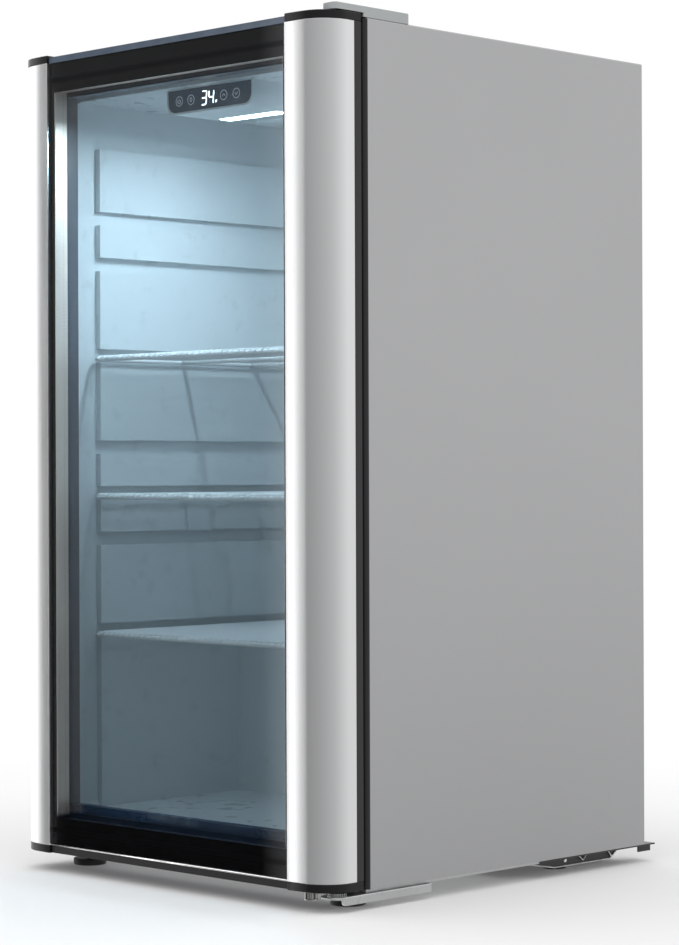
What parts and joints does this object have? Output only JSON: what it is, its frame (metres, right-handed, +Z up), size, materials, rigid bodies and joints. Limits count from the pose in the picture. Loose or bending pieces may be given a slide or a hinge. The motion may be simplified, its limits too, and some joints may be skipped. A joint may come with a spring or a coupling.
{
  "type": "glass-door beverage refrigerator",
  "caption": "Compact beverage cooler with a framed double-glazed hinged door, wire shelves, interior light, digital control panel and rear compressor.",
  "frame": {"origin": "centre of the bounding box on the floor, under the middle of the cooler", "axes": "+X to the right seen from the front, +Y to the back, +Z up; the door faces -Y"},
  "size_m": [0.4453, 0.48, 0.829],
  "materials": {
    "cabinet_paint": "satin",
    "black_paint": "satin",
    "zinc_plate": "satin",
    "liner_plastic": "satin",
    "foam": "matte",
    "rubber_black": "matte",
    "fastener_steel": "satin",
    "copper_tube": "satin",
    "aluminium_plate": "satin",
    "profile_aluminium": "satin",
    "black_plastic": "satin",
    "white_plastic": "satin",
    "white_wire": "gloss",
    "panel_plastic": "gloss",
    "board_green": "satin",
    "lens_plastic": "satin",
    "clear_glass": "gloss",
    "hinge_cover_plastic": "satin",
    "chrome_stud": "polished",
    "bush_plastic": "satin"
  },
  "bodies": {
    "cabinet": {"outer_shell": "cabinet_paint", "bottom_plate": "zinc_plate", "compressor_bay_panel": "zinc_plate", "back_panel": "cabinet_paint", "inner_liner": "liner_plastic", "foam_insulation": "foam", "compressor_base": "black_paint", "compressor": "black_paint", "compressor_grommets": "rubber_black", "compressor_bolts": "fastener_steel", "start_relay_box": "black_plastic", "suction_line": "copper_tube", "discharge_line": "copper_tube", "filter_drier": "copper_tube", "condenser_coil_left": "copper_tube", "condenser_coil_right": "copper_tube", "evaporator_plate": "aluminium_plate", "evaporator_cover": "liner_plastic", "fan_motor": "black_plastic", "cord_gland": "black_plastic", "control_housing": "white_plastic", "control_panel": "panel_plastic", "control_board": "board_green", "led_lens": "lens_plastic", "led_board": "board_green", "bottom_hinge_bracket": "zinc_plate", "bottom_hinge_pin": "fastener_steel", "hinge_washers": "fastener_steel", "bottom_hinge_screws": "fastener_steel", "top_hinge_plate": "zinc_plate", "top_hinge_pin": "fastener_steel", "top_hinge_screws": "fastener_steel", "top_hinge_cover": "hinge_cover_plastic", "foot_nuts": "fastener_steel", "rear_feet": "rubber_black", "rear_foot_bolts": "fastener_steel"},
    "door": {"left_profile": "profile_aluminium", "right_profile": "profile_aluminium", "top_left_cap": "black_plastic", "top_right_cap": "black_plastic", "bottom_left_cap": "black_plastic", "bottom_right_cap": "black_plastic", "top_rail": "panel_plastic", "bottom_rail": "black_plastic", "outer_glass": "clear_glass", "inner_glass": "clear_glass", "spacer_frame": "aluminium_plate", "glass_edge_seal": "rubber_black", "door_inner_frame": "black_plastic", "door_gasket": "rubber_black", "gasket_magnets": "fastener_steel", "upper_hinge_bush": "bush_plastic", "lower_hinge_bush": "bush_plastic", "door_stop_stud": "chrome_stud"},
    "upper_shelf": {"upper_shelf": "white_wire"},
    "middle_shelf": {"middle_shelf": "white_wire"},
    "lower_shelf": {"lower_shelf": "white_wire"},
    "evaporator_fan": {"fan_blade": "black_plastic"},
    "front_left_foot": {"front_left_foot": "rubber_black"},
    "front_right_foot": {"front_right_foot": "rubber_black"}
  },
  "joints": [
    {"name": "door_hinge", "type": "hinge", "parent": "cabinet", "child": "door", "pos_m": [0.213, -0.217, 0.42], "axis": [0, 0, 1], "range_deg": [0, 110]},
    {"name": "upper_shelf_slide", "type": "slide", "parent": "cabinet", "child": "upper_shelf", "axis": [0, -1, 0], "range_m": [0, 0.015]},
    {"name": "middle_shelf_slide", "type": "slide", "parent": "cabinet", "child": "middle_shelf", "axis": [0, -1, 0], "range_m": [0, 0.015]},
    {"name": "lower_shelf_slide", "type": "slide", "parent": "cabinet", "child": "lower_shelf", "axis": [0, -1, 0], "range_m": [0, 0.015]},
    {"name": "fan_spin", "type": "hinge", "parent": "cabinet", "child": "evaporator_fan", "pos_m": [0, 0.168, 0.665], "axis": [0, 1, 0], "continuous": true},
    {"name": "front_left_foot_thread", "type": "slide", "parent": "cabinet", "child": "front_left_foot", "axis": [0, 0, -1], "range_m": [0, 0.008]},
    {"name": "front_right_foot_thread", "type": "slide", "parent": "cabinet", "child": "front_right_foot", "axis": [0, 0, -1], "range_m": [0, 0.008]}
  ]
}
